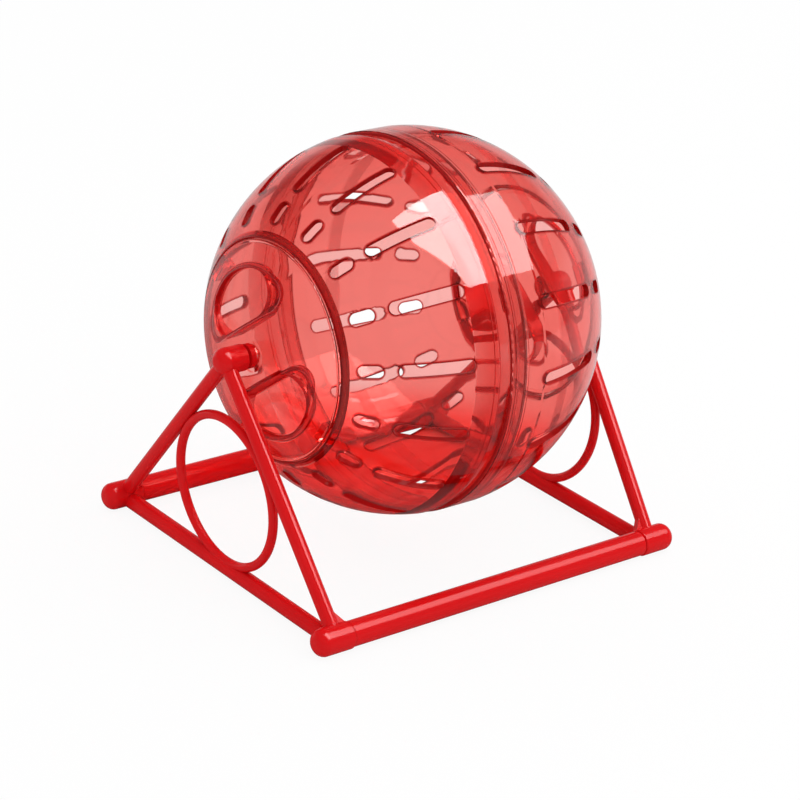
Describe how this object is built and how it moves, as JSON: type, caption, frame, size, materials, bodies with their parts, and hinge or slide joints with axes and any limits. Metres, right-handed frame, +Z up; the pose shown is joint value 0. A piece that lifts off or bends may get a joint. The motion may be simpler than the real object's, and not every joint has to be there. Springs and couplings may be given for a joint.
{
  "type": "hamster ball on a stand",
  "caption": "Clear red plastic hamster ball with slotted halves and twist-off lids, spinning on stub axles between the A-shaped sides of a red stand joined by crossbars.",
  "frame": {"origin": "centre of the stand's footprint on the floor, straight under the middle of the ball", "axes": "+X along the axle, from the shallower ball half to the deeper one; -Y is the front, the nearer crossbar in the picture; +Z up"},
  "size_m": [0.1658, 0.1401, 0.1541],
  "materials": {
    "clear_red": "clear tinted, polished",
    "opaque_red": "solid colour, glossy"
  },
  "bodies": {
    "stand": {"left_side_frame": "opaque_red", "right_side_frame": "opaque_red", "front_crossbar": "opaque_red", "rear_crossbar": "opaque_red"},
    "ball": {"left_ball_half": "clear_red", "right_ball_half": "clear_red"},
    "left_lid": {"left_lid": "clear_red", "left_axle_bush": "opaque_red"},
    "right_lid": {"right_lid": "clear_red", "right_axle_bush": "opaque_red"}
  },
  "joints": [
    {"name": "ball_spin", "type": "hinge", "parent": "stand", "child": "ball", "pos_m": [0, 0, 0.08425], "axis": [1, 0, 0], "continuous": true},
    {"name": "left_lid_twist", "type": "hinge", "parent": "ball", "child": "left_lid", "pos_m": [-0.0602, 0, 0.08425], "axis": [-1, 0, 0], "range_deg": [0, 30]},
    {"name": "right_lid_twist", "type": "hinge", "parent": "ball", "child": "right_lid", "pos_m": [0.0602, 0, 0.08425], "axis": [1, 0, 0], "range_deg": [0, 30]}
  ]
}
